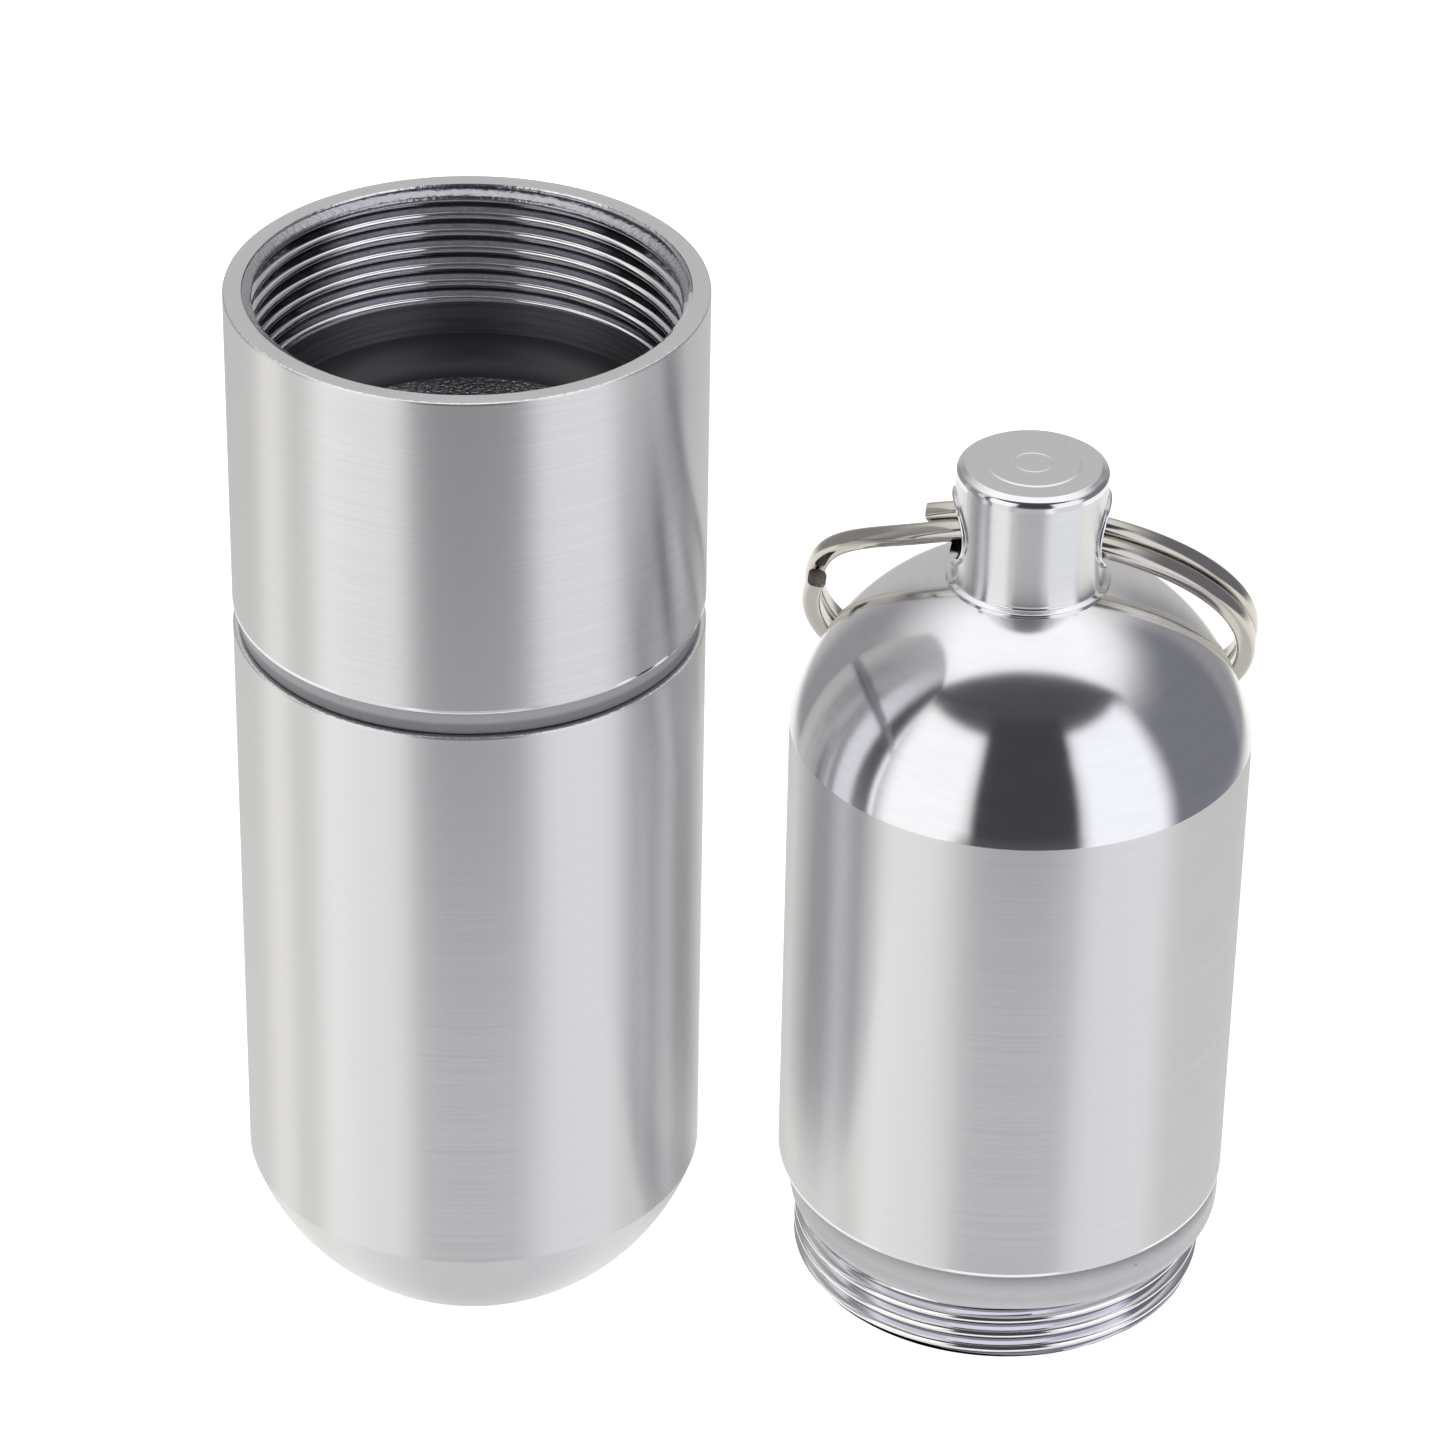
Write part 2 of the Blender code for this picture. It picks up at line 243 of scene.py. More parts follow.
def add_node(tree, kind, **values):
    """A node whose attributes or inputs are set, with inputs called by name or as i0, i1 and so on.

    An input is linked where its value is another node's output.
    """
    made = tree.nodes.new(kind)
    for key, value in values.items():
        if hasattr(made, key):
            setattr(made, key, value)
            continue
        socket = made.inputs[int(key[1:]) if key[0] == "i" and key[1:].isdigit() else key.replace("_", " ")]
        if isinstance(value, bpy.types.NodeSocket):
            tree.links.new(value, socket)
        else:
            socket.default_value = value
    return made


def maths(tree, operation, a, b=0.0):
    return add_node(tree, "ShaderNodeMath", operation=operation, i0=a, i1=b).outputs[0]


def ramp(tree, value, from_low, from_high, to_low=0.0, to_high=1.0):
    """The value carried smoothly from one range to another, and held at its ends."""
    made = add_node(tree, "ShaderNodeMapRange", interpolation_type="SMOOTHSTEP")
    for index, number in enumerate((value, from_low, from_high, to_low, to_high)):
        if isinstance(number, bpy.types.NodeSocket):
            tree.links.new(number, made.inputs[index])
        else:
            made.inputs[index].default_value = number
    return made.outputs[0]


def new_material(name):
    material = bpy.data.materials.new(name)
    material.use_nodes = True
    shader = material.node_tree.nodes["Principled BSDF"]
    return material, material.node_tree, shader


def stretched_noise(tree, across, along):
    """Noise drawn out round the piece's own axis, as a lathe tool's marks are: scales per metre."""
    place = add_node(tree, "ShaderNodeTexCoord").outputs["Object"]
    scale = (across, across, along)
    mapped = add_node(tree, "ShaderNodeMapping", Vector=place, Scale=scale).outputs[0]
    return add_node(tree, "ShaderNodeTexNoise", Vector=mapped, Scale=1.0, Detail=3.0).outputs[0]


def turned_metal(name, colour, roughness, anisotropy, across, along, depth, mottle):
    """Metal off the lathe: fine grooves round the axis spread its reflections up and down."""
    material, tree, shader = new_material(name)
    marks = stretched_noise(tree, across, along)
    dark = tuple(c * (1.0 - mottle) for c in colour)
    tint = add_node(tree, "ShaderNodeMix", data_type="RGBA")
    tree.links.new(ramp(tree, marks, 0.35, 0.65), tint.inputs["Factor"])
    tint.inputs["A"].default_value = (*dark, 1.0)
    tint.inputs["B"].default_value = (*colour, 1.0)
    tree.links.new(tint.outputs["Result"], shader.inputs["Base Color"])
    rough = ramp(tree, marks, 0.3, 0.7, roughness * 0.95, roughness * 1.05)
    tree.links.new(rough, shader.inputs["Roughness"])
    shader.inputs["Metallic"].default_value = 1.0
    shader.inputs["Anisotropic"].default_value = anisotropy
    shader.inputs["Anisotropic Rotation"].default_value = 0.25
    tangent = add_node(tree, "ShaderNodeTangent", direction_type="RADIAL", axis="Z")
    tree.links.new(tangent.outputs[0], shader.inputs["Tangent"])
    bump = add_node(tree, "ShaderNodeBump", Strength=1.0, Distance=depth, Height=marks)
    tree.links.new(bump.outputs[0], shader.inputs["Normal"])
    return material


def faced_metal(name, colour, roughness, rings, depth, grain_share):
    """Metal faced off across its end: rings about the axis, with a little grain."""
    material, tree, shader = new_material(name)
    place = add_node(tree, "ShaderNodeTexCoord").outputs["Object"]
    split = add_node(tree, "ShaderNodeSeparateXYZ", Vector=place).outputs
    squares = maths(tree, "ADD", maths(tree, "POWER", split[0], 2.0), maths(tree, "POWER", split[1], 2.0))
    distance = maths(tree, "SQRT", squares)
    scaled = maths(tree, "MULTIPLY", distance, rings)
    noise = add_node(tree, "ShaderNodeTexNoise", noise_dimensions="1D", W=scaled, Scale=1.0, Detail=2.0)
    marks = noise.outputs[0]
    grain = add_node(tree, "ShaderNodeTexNoise", Vector=place, Scale=3800.0, Detail=3.0).outputs[0]
    height = maths(
        tree, "ADD", maths(tree, "MULTIPLY", marks, 1.0 - grain_share),
        maths(tree, "MULTIPLY", grain, grain_share),
    )
    shader.inputs["Base Color"].default_value = (*colour, 1.0)
    shader.inputs["Metallic"].default_value = 1.0
    tree.links.new(ramp(tree, height, 0.3, 0.7, roughness * 0.8, roughness * 1.2), shader.inputs["Roughness"])
    bump = add_node(tree, "ShaderNodeBump", Strength=1.0, Distance=depth, Height=height)
    tree.links.new(bump.outputs[0], shader.inputs["Normal"])
    return material


def silicone(name, colour, under, transmission):
    """Cloudy clear silicone with a little dust, whose lower half is painted darker, a painted shade, by the
    share called under.
    """
    material, tree, shader = new_material(name)
    place = add_node(tree, "ShaderNodeTexCoord").outputs["Object"]
    cloud = add_node(tree, "ShaderNodeTexNoise", Vector=place, Scale=500.0, Detail=3.0).outputs[0]
    dust = add_node(tree, "ShaderNodeTexNoise", Vector=place, Scale=4200.0, Detail=1.0).outputs[0]
    specks = ramp(tree, dust, 0.755, 0.775)
    pale = tuple(min(1.0, c * 1.08) for c in colour)
    tint = add_node(tree, "ShaderNodeMix", data_type="RGBA", A=(*colour, 1.0), B=(*pale, 1.0), Factor=cloud)
    spotted = add_node(
        tree, "ShaderNodeMix", data_type="RGBA", A=tint.outputs["Result"], B=(*DUST, 1.0), Factor=specks
    )
    height = add_node(tree, "ShaderNodeSeparateXYZ", Vector=place).outputs[2]
    # The lower half of the ring is painted darker: painted shade.
    shade = ramp(tree, height, -SILICONE_SHADE, SILICONE_SHADE, 1.0 - under, 1.0)
    spots = spotted.outputs["Result"]
    shaded = add_node(tree, "ShaderNodeVectorMath", operation="SCALE", i0=spots, Scale=shade)
    tree.links.new(shaded.outputs[0], shader.inputs["Base Color"])
    tree.links.new(ramp(tree, cloud, 0.3, 0.7, 0.32, 0.45), shader.inputs["Roughness"])
    shader.inputs["Transmission Weight"].default_value = transmission
    shader.inputs["IOR"].default_value = 1.41
    shader.inputs["Subsurface Weight"].default_value = 0.3
    shader.inputs["Subsurface Radius"].default_value = (0.6, 0.6, 0.6)
    shader.inputs["Subsurface Scale"].default_value = MM
    return material


def nickel(name, colour, roughness, scratch_depth):
    """Bright nickel plate with faint handling marks."""
    material, tree, shader = new_material(name)
    place = add_node(tree, "ShaderNodeTexCoord").outputs["Object"]
    marks = add_node(tree, "ShaderNodeTexNoise", Vector=place, Scale=1300.0, Detail=4.0).outputs[0]
    shader.inputs["Metallic"].default_value = 1.0
    worn = tuple(c * 0.92 for c in colour)
    tint = add_node(tree, "ShaderNodeMix", data_type="RGBA", A=(*worn, 1.0), B=(*colour, 1.0), Factor=marks)
    tree.links.new(tint.outputs["Result"], shader.inputs["Base Color"])
    tree.links.new(ramp(tree, marks, 0.3, 0.7, roughness * 0.7, roughness * 1.3), shader.inputs["Roughness"])
    bump = add_node(tree, "ShaderNodeBump", Strength=1.0, Distance=scratch_depth, Height=marks)
    tree.links.new(bump.outputs[0], shader.inputs["Normal"])
    return material


FINISHES = {name: turned_metal(name + "_aluminium", *values) for name, values in TURNED.items()}
FINISHES.update({name: faced_metal(name + "_aluminium", *values) for name, values in FACED.items()})


# ---------------------------------------------------------------- turned shapes

class Turning:
    """A solid of revolution that grows ring by ring: up its inner side, over its rim and down its outer side.

    Each ring has a (radius, height) for every column, so that a thread can climb round the axis.
    """

    def __init__(self):
        self.rings = []
        self.finishes = []  # of the band that ends at each ring
        self.threads = []  # (first ring, last ring, rings that a turn climbs) of each thread

    def point(self, radius, height, finish):
        self.rings.append([(max(radius, 0.0), height)] * COLUMNS)
        self.finishes.append(finish)

    def points(self, outline, finish):
        for radius, height in outline:
            self.point(radius, height, finish)

    def corners(self, outline, finish, radius=EDGE):
        """An outline whose inner corners are rounded, with rings close to each rounding."""
        self.points(rounded(outline, radius), finish)

    def arc(self, centre, radius, start, end, finish):
        """An arc about a centre on the axis, with rings close to its ends."""
        steps = max(2, ceil(abs(end - start) / ARC_STEP))
        near = SUPPORT / radius / abs(end - start)
        for share in sorted([i / steps for i in range(steps + 1)] + [near, 1.0 - near]):
            angle = start + (end - start) * share
            self.point(radius * cos(angle), centre + radius * sin(angle), finish)

    def thread(self, low, high, radius_at, crest, upwards, foot):
        """Rings that climb with a thread between two heights, where radius_at(turn, height) is the surface.

        The crests lie at the height called crest over +X, or whole pitches from it. The start of the lowest
        turn has a finish of its own, called foot.
        """
        count = THREAD_POINTS * (ceil((high - low) / PITCH) + 1) + 1
        rings = []
        for n in range(count):
            ring = []
            for column in range(COLUMNS):
                turn = column / COLUMNS
                height = min(high, max(low, low + PITCH * (n / THREAD_POINTS + turn - 1.0)))
                ring.append((radius_at(turn, height), height))
            rings.append(ring)
        if not upwards:
            rings.reverse()
        marks = []
        for n in range(count):
            from_crest = abs(((low - crest) / PITCH + n / THREAD_POINTS + 0.5) % 1.0 - 0.5)
            if n < THREAD_POINTS * THREAD_FOOT_SHARE:
                marks.append(foot)
            elif n > count - THREAD_POINTS * THREAD_RAGGED_TURNS:
                marks.append("ragged")
            # Past that share from a crest, the groove's root is painted dark as painted shade.
            elif from_crest > THREAD_SHADE_SHARE:
                marks.append("thread_root")
            else:
                # Near a crest the colour is painted white, a painted highlight.
                marks.append("thread_crest" if from_crest < THREAD_HIGHLIGHT_SHARE else "thread_flank")
        if not upwards:
            marks.reverse()
        first = len(self.rings)
        self.rings += rings
        self.finishes += marks
        self.threads.append((first, first + count - 1, THREAD_POINTS if upwards else -THREAD_POINTS))

    def make(self, name, place, body):
        spots, vertices, faces, slots = {}, [], [], []
        materials = sorted(set(self.finishes))

        def vertex(ring, column):
            radius, height = self.rings[ring][column]
            angle = tau * column / COLUMNS
            spot = (round(radius * cos(angle), 8), round(radius * sin(angle), 8), round(height, 8))
            if spot not in spots:
                spots[spot] = len(vertices)
                vertices.append(spot)
            return spots[spot]

        for low in range(len(self.rings) - 1):
            section = next((s for s in self.threads if s[0] <= low < s[1]), None)
            for column in range(COLUMNS):
                after = (column + 1) % COLUMNS
                shifted = [low, low + 1]
                if section and after == 0:
                    shifted = [min(section[1], max(section[0], ring + section[2])) for ring in shifted]
                corners = [
                    vertex(low, column), vertex(low + 1, column),
                    vertex(shifted[1], after), vertex(shifted[0], after),
                ]
                face = [v for i, v in enumerate(corners) if v != corners[i - 1]]
                if len(set(face)) >= 3:
                    faces.append(face)
                    slots.append(materials.index(self.finishes[low + 1]))
        mesh = bpy.data.meshes.new(name)
        mesh.from_pydata(vertices, [], faces)
        for finish in materials:
            mesh.materials.append(FINISHES[finish])
        mesh.polygons.foreach_set("material_index", slots)
        mesh.shade_smooth()
        mesh.set_sharp_from_angle(angle=SHARP_ANGLE)
        return add_piece(name, mesh, place, body)


def add_piece(name, data, place, body):
    """A visible piece that stands for the CAD node of its body."""
    piece = bpy.data.objects.new(name + "_visual", data)
    piece.location = place
    bpy.context.scene.collection.objects.link(piece)
    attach(piece, body)
    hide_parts(name)
    return piece


def rounded(outline, radius):
    """The outline with its inner corners rounded, and points near the ends of its long straight runs."""
    points = [Vector(p) for p in outline]
    made = [points[0]]
    for before, corner, after in zip(points, points[1:], points[2:]):
        inwards, outwards = (before - corner).normalized(), (after - corner).normalized()
        half = acos(max(-1.0, min(1.0, inwards.dot(outwards)))) / 2
        reach = min(radius / max(sin(half) / cos(half), 1e-6), (before - corner).length * 0.45,
                    (after - corner).length * 0.45)
        start, end = corner + inwards * reach, corner + outwards * reach
        if (before - start).length > 4 * SUPPORT:
            made.append(start + inwards * SUPPORT)
        for i in range(EDGE_STEPS + 1):
            t = i / EDGE_STEPS
            made.append(start * (1 - t) ** 2 + corner * 2 * t * (1 - t) + end * t**2)
        if (after - end).length > 4 * SUPPORT:
            made.append(end + outwards * SUPPORT)
    made.append(points[-1])
    return [tuple(p) for p in made]


def groove_share(turn):
    """How deep the thread is cut this share of a turn from a groove's centre: 1 in the root, 0 on a crest."""

    def drop(reach):
        straight = max(0.0, reach - THREAD_CREST * sin(THREAD_FLANK))
        curved = min(reach, THREAD_CREST * sin(THREAD_FLANK))
        return THREAD_CREST - sqrt(THREAD_CREST**2 - curved**2) + straight * tan(THREAD_FLANK)

    away = abs((turn + 0.5) % 1.0 - 0.5)
    return drop(PITCH * (0.5 - max(away, THREAD_ROOT_SHARE))) / drop(PITCH * (0.5 - THREAD_ROOT_SHARE))


def add_mouth(turning, rim, length, finish):
    """The threaded mouth, from the bore up over the rim to the outer side."""
    low = rim - length - THREAD_FADE

    def radius_at(turn, height):
        fade = max(0.0, min(1.0, (height - low) / THREAD_FADE))
        depth = (MOUTH_ROOT - MOUTH_BORE) * fade * groove_share((height - rim + length) / PITCH - turn)
        lead_in = MOUTH_LIP - (rim - height) * (MOUTH_LIP - MOUTH_BORE) / MOUTH_LEAD_IN
        return max(MOUTH_BORE + depth, lead_in)

    turning.thread(low, rim - EDGE, radius_at, rim - length + PITCH / 2, True, "bored")
    lip, side = MOUTH_LIP - EDGE * (MOUTH_LIP - MOUTH_BORE) / MOUTH_LEAD_IN, BODY_RADIUS - EDGE
    inner_edge = [(lip, rim - EDGE), (lip + 0.3 * EDGE, rim - 0.2 * EDGE), (MOUTH_LIP + 0.4 * EDGE, rim)]
    turning.points(inner_edge, "burred")
    turning.points([(side - EDGE / 2, rim)], "faced")
    turning.points([(side + 0.3 * EDGE, rim - 0.05 * EDGE), (side + 0.75 * EDGE, rim - 0.3 * EDGE)], "burred")
    turning.points([(BODY_RADIUS, rim - EDGE), (BODY_RADIUS, rim - EDGE - SUPPORT)], finish)


def add_neck(turning, shoulder, groove_height, finish):
    """From the barrel in under the shoulder, down the threaded neck, and up to its bore's edge."""
    end = shoulder - NECK_LENGTH
    top = end + NECK_THREAD
    turning.points([(BODY_RADIUS, shoulder + 2 * EDGE)], finish)
    turning.corners(
        [(BODY_RADIUS, shoulder + 2 * EDGE), (BODY_RADIUS, shoulder), (NECK_GROOVE, shoulder)], "cut"
    )
    turning.corners(
        [(NECK_GROOVE, shoulder), (NECK_GROOVE, top + NECK_CHAMFER), (NECK_CREST - NECK_CHAMFER, top)], "cut"
    )

    def radius_at(turn, height):
        depth = (NECK_CREST - NECK_ROOT) * groove_share((height - groove_height) / PITCH - turn)
        chamfer = NECK_CREST - NECK_CHAMFER + min(top - height, height - end)
        return min(NECK_CREST - depth, chamfer)

    turning.thread(end, top, radius_at, groove_height + PITCH / 2, False, "thread_flank")
    turning.corners([(NECK_CREST - NECK_CHAMFER, end), (NECK_BORE, end), (NECK_BORE, end + 1.0 * MM)], "cut")


def make_lower_capsule():
    turning = Turning()
    centre = DOME_EDGE + sqrt(DOME_RADIUS**2 - BODY_RADIUS**2)
    inner = DOME_RADIUS - DOME_WALL
    # The inside of the dome is painted dark, a painted shade.
    turning.arc(centre, inner, -pi / 2, -acos(MOUTH_BORE / inner), "bored")
    add_mouth(turning, LOWER_RIM, LOWER_THREAD, "satin")
    turning.points([(BODY_RADIUS, DOME_EDGE + SUPPORT)], "satin")
    turning.arc(centre, DOME_RADIUS, -acos(BODY_RADIUS / DOME_RADIUS), -asin(centre / DOME_RADIUS), "satin")
    turning.point(0.0, 0.0, "faced")
    return turning.make("lower_capsule", (0.0, 0.0, 0.0), "lower_capsule")


def make_middle_sleeve():
    turning = Turning()
    turning.points([(0.0, CUP_FLOOR), (MOUTH_BORE - CUP_CORNER, CUP_FLOOR)], "cup_floor")
    # The cup's rounded inner corner is painted dark, a painted shade.
    for i in range(1, CUP_CORNER_STEPS + 1):
        angle = pi / 2 * i / CUP_CORNER_STEPS
        radius = MOUTH_BORE - CUP_CORNER * (1.0 - sin(angle))
        turning.point(radius, CUP_FLOOR + CUP_CORNER * (1.0 - cos(angle)), "corner")
    # The sleeve's bore is painted dark, a painted shade.
    turning.point(MOUTH_BORE, SLEEVE_RIM - SLEEVE_THREAD - PITCH, "bored")
    add_mouth(turning, SLEEVE_RIM, SLEEVE_THREAD, "sleeve")
    groove = LOWER_RIM - LOWER_THREAD + PITCH / 2
    add_neck(turning, SLEEVE_END + NECK_LENGTH, groove, "sleeve")
    turning.points([(NECK_BORE, CUP_FLOOR - PARTITION)], "bored")
    turning.point(0.0, CUP_FLOOR - PARTITION, "faced")
    return turning.make("middle_sleeve", (0.0, 0.0, 0.0), "middle_sleeve")


def make_cap_shell():
    turning = Turning()
    dome = (BODY_RADIUS**2 + CAP_DOME_RISE**2) / (2 * CAP_DOME_RISE)
    centre = BARREL_TOP + CAP_DOME_RISE - dome
    lip_foot = centre + sqrt(dome**2 - KNOB_LIP**2)
    lip_top = lip_foot + KNOB_LIP_RISE
    pip, shelf = KNOB_PIP_RADIUS, KNOB_TOP - KNOB_STEP
    turning.corners(
        [
            (0.0, KNOB_TOP), (pip - KNOB_STEP, KNOB_TOP), (pip, (KNOB_TOP + shelf) / 2),
            (pip + KNOB_STEP, KNOB_TOP), (KNOB_STEP_RADIUS, KNOB_TOP),
            (KNOB_STEP_RADIUS + 2 * KNOB_STEP, shelf),
            (KNOB_RADIUS - KNOB_CHAMFER - EDGE, shelf),
        ],
        "faced",
        KNOB_STEP / 4,
    )
    turning.corners(
        [
            (KNOB_RADIUS - KNOB_CHAMFER - EDGE, shelf), (KNOB_RADIUS - KNOB_CHAMFER, shelf),
            (KNOB_RADIUS, shelf - KNOB_CHAMFER_DROP), (KNOB_RADIUS, shelf - KNOB_CHAMFER_DROP - 4 * EDGE),
        ],
        "cut",
        3 * EDGE,
    )
    turning.points([(KNOB_RADIUS, lip_top + 2 * KNOB_LIP_RISE)], "knob")
    turning.corners(
        [
            (KNOB_RADIUS, lip_top + 2 * KNOB_LIP_RISE), (KNOB_RADIUS, lip_top + KNOB_LIP_RISE),
            (KNOB_LIP, lip_top), (KNOB_LIP, lip_foot),
        ],
        "cut",
    )
    turning.arc(centre, dome, acos(KNOB_LIP / dome), acos(BODY_RADIUS / dome), "polished")
    turning.point(BODY_RADIUS, BARREL_TOP - SUPPORT, "satin")
    add_neck(turning, NECK_LENGTH, CAP_GROOVE_HEIGHT, "satin")
    turning.arc(CAP_BORE_TOP, NECK_BORE, 0.0, pi / 2, "bored")
    cap = turning.make("cap_shell", CAP_PLACE, "cap_shell")
    drill_ring_hole(cap)
    return cap


def squared_section(half_width, half_height, sides, squareness):
    """Points round a section, which is an ellipse at a squareness of 2 and nears a rectangle above it."""

    def pushed(value):
        return abs(value) ** (2 / squareness) * (1 if value > 0 else -1)

    turns = [tau * i / sides for i in range(sides)]
    return [(half_width * pushed(cos(turn)), half_height * pushed(sin(turn))) for turn in turns]


def swept_mesh(name, trails, section, closed=True):
    """Tubes along trails of (spot, outwards, upwards). Unless closed, the last two faces cap the ends."""
    vertices, faces = [], []
    sides = len(section)
    for trail in trails:
        start = len(vertices)
        for spot, outwards, upwards in trail:
            vertices += [tuple(spot + outwards * x + upwards * z) for x, z in section]
        for i in range(len(trail) if closed else len(trail) - 1):
            a, b = start + i * sides, start + (i + 1) % len(trail) * sides
            for k in range(sides):
                after = (k + 1) % sides
                faces.append((a + k, a + after, b + after, b + k))
        if not closed:
            faces.append(tuple(range(start + sides - 1, start - 1, -1)))
            faces.append(tuple(range(len(vertices) - sides, len(vertices))))
    mesh = bpy.data.meshes.new(name)
    mesh.from_pydata(vertices, [], faces)
    return mesh


def drill_mesh(reach):
    """A closed rod along X, as wide as the knob's cross hole."""
    sides = RING_HOLE_SIDES
    mesh = bpy.data.meshes.new("drill")
    vertices = [
        (x, RING_HOLE * cos(tau * i / sides), RING_HOLE * sin(tau * i / sides))
        for x in (-reach, reach) for i in range(sides)
    ]
    faces = [tuple(range(sides - 1, -1, -1)), tuple(range(sides, 2 * sides))]
    for i in range(sides):
        after = (i + 1) % sides
        faces.append((i, after, sides + after, sides + i))
    mesh.from_pydata(vertices, [], faces)
    return mesh


def burr_mesh():
    """A bead round each end of the knob's cross hole, on the knob's round side."""
    trails = []
    for side in (-1, 1):
        trail = []
        for i in range(RING_HOLE_SIDES):
            angle = side * tau * i / RING_HOLE_SIDES
            y, z = RING_HOLE * cos(angle), RING_HOLE * sin(angle)
            outwards = Vector((side * sqrt(KNOB_RADIUS**2 - y**2), y, 0.0)) / KNOB_RADIUS
            spot = Vector((0.0, 0.0, z)) + outwards * (KNOB_RADIUS + RING_HOLE_BURR / 3)
            trail.append((spot, outwards, Vector((0.0, y, z)) / RING_HOLE))
        trails.append(trail)
    return swept_mesh("burr", trails, squared_section(RING_HOLE_BURR, RING_HOLE_BURR, BURR_SIDES, 2.0))


def drill_ring_hole(cap):
    """Raises a burr round each end of the knob's cross hole, then cuts the hole."""
    for tool_mesh, operation in ((burr_mesh(), "UNION"), (drill_mesh(1.5 * KNOB_RADIUS), "DIFFERENCE")):
        tool_mesh.materials.append(FINISHES["cut"])
        tool = bpy.data.objects.new("tool", tool_mesh)
        tool.location = RING_PIVOT
        bpy.context.scene.collection.objects.link(tool)
        cutting = cap.modifiers.new("Hole", "BOOLEAN")
        cutting.operation = operation
        cutting.solver = "EXACT"
        cutting.object = tool
        bpy.context.view_layer.update()
        cap.data = bpy.data.meshes.new_from_object(cap.evaluated_get(bpy.context.evaluated_depsgraph_get()))
        cap.modifiers.clear()
        bpy.data.objects.remove(tool)
    seams = bmesh.new()
    seams.from_mesh(cap.data)
    bmesh.ops.remove_doubles(seams, verts=seams.verts, dist=WELD)
    bmesh.ops.dissolve_degenerate(seams, edges=seams.edges, dist=WELD)
    seams.to_mesh(cap.data)
    seams.free()
    cap.data.shade_smooth()
    cap.data.set_sharp_from_angle(angle=SHARP_ANGLE)


def make_silicone_ring(name, low, high, squareness, material):
    """A ring of rounded section, which fills its CAD ring's box."""
    half_width = SILICONE_WIDTH / 2
    middle = (high.x - low.x) / 2 - half_width
    trail = []
    for column in range(COLUMNS):
        outwards = Vector((cos(tau * column / COLUMNS), -sin(tau * column / COLUMNS), 0.0))
        trail.append((outwards * middle, outwards, Vector((0.0, 0.0, 1.0))))
    section = squared_section(half_width, (high.z - low.z) / 2, SILICONE_SIDES, squareness)
    mesh = swept_mesh(name, [trail], section)
    mesh.materials.append(material)
    mesh.shade_smooth()
    return add_piece(name, mesh, (low + high) / 2, name)


def ring_layer(around):
    """The wire's offset across the ring: one layer, a smooth crossing, then the other layer."""
    share = min(1.0, max(0.0, (around - UPPER_END - tau) / (LOWER_END - UPPER_END)))
    return LAYER_OFFSET * (2.0 * share * share * (3.0 - 2.0 * share) - 1.0)


def make_split_ring(material, cut_material):
    """The wire, swept round its two layers, with a flattened section and rough cut ends."""
    end = UPPER_END + 2 * tau
    steps = round((end - LOWER_END) / WIRE_STEP)
    upwards = Vector((0.0, 0.0, 1.0))
    centre = Vector((RING_SHIFT, COIL_RADIUS - RING_INSET, 0.0))
    trail = []
    for i in range(steps + 1):
        around = LOWER_END + (end - LOWER_END) * i / steps
        outwards = Vector((-sin(around), -cos(around), 0.0))
        trail.append((centre + outwards * COIL_RADIUS + upwards * ring_layer(around), outwards, upwards))
    section = squared_section(WIRE_HALF, WIRE_HALF, WIRE_SIDES, WIRE_SQUARENESS)
    mesh = swept_mesh("split_ring", [trail], section, closed=False)
    mesh.materials.append(material)
    mesh.materials.append(cut_material)
    for face in mesh.polygons[-2:]:
        face.material_index = 1
    mesh.shade_smooth()
    mesh.set_sharp_from_angle(angle=SHARP_ANGLE)
    mesh.transform(Matrix.Rotation(-RING_LEAN, 4, "X") @ Matrix.Rotation(RING_ROLL, 4, "Y"))
    return add_piece("split_ring", mesh, RING_PIVOT, "split_ring")


# ---------------------------------------------------------------- studio

def panel(tree, azimuth, elevation, left, right, low, high, side_blur, end_blur):
    """A soft-edged mask of one panel round the object, in degrees."""
    sides = maths(
        tree, "MULTIPLY", ramp(tree, azimuth, left - side_blur, left + side_blur),
        ramp(tree, azimuth, right - side_blur, right + side_blur, 1.0, 0.0),
    )
    ends = maths(
        tree, "MULTIPLY", ramp(tree, elevation, low - end_blur, low + end_blur),
        ramp(tree, elevation, high - end_blur, high + end_blur, 1.0, 0.0),
    )
    return maths(tree, "MULTIPLY", sides, ends)


def over(tree, below, mask, colour):
    """Lays a flat colour over what is below, by a mask."""
    mix = add_node(tree, "ShaderNodeMix", data_type="RGBA")
    tree.links.new(mask, mix.inputs["Factor"])
    tree.links.new(below, mix.inputs["A"])
    mix.inputs["B"].default_value = (*colour, 1.0)
    return mix.outputs["Result"]


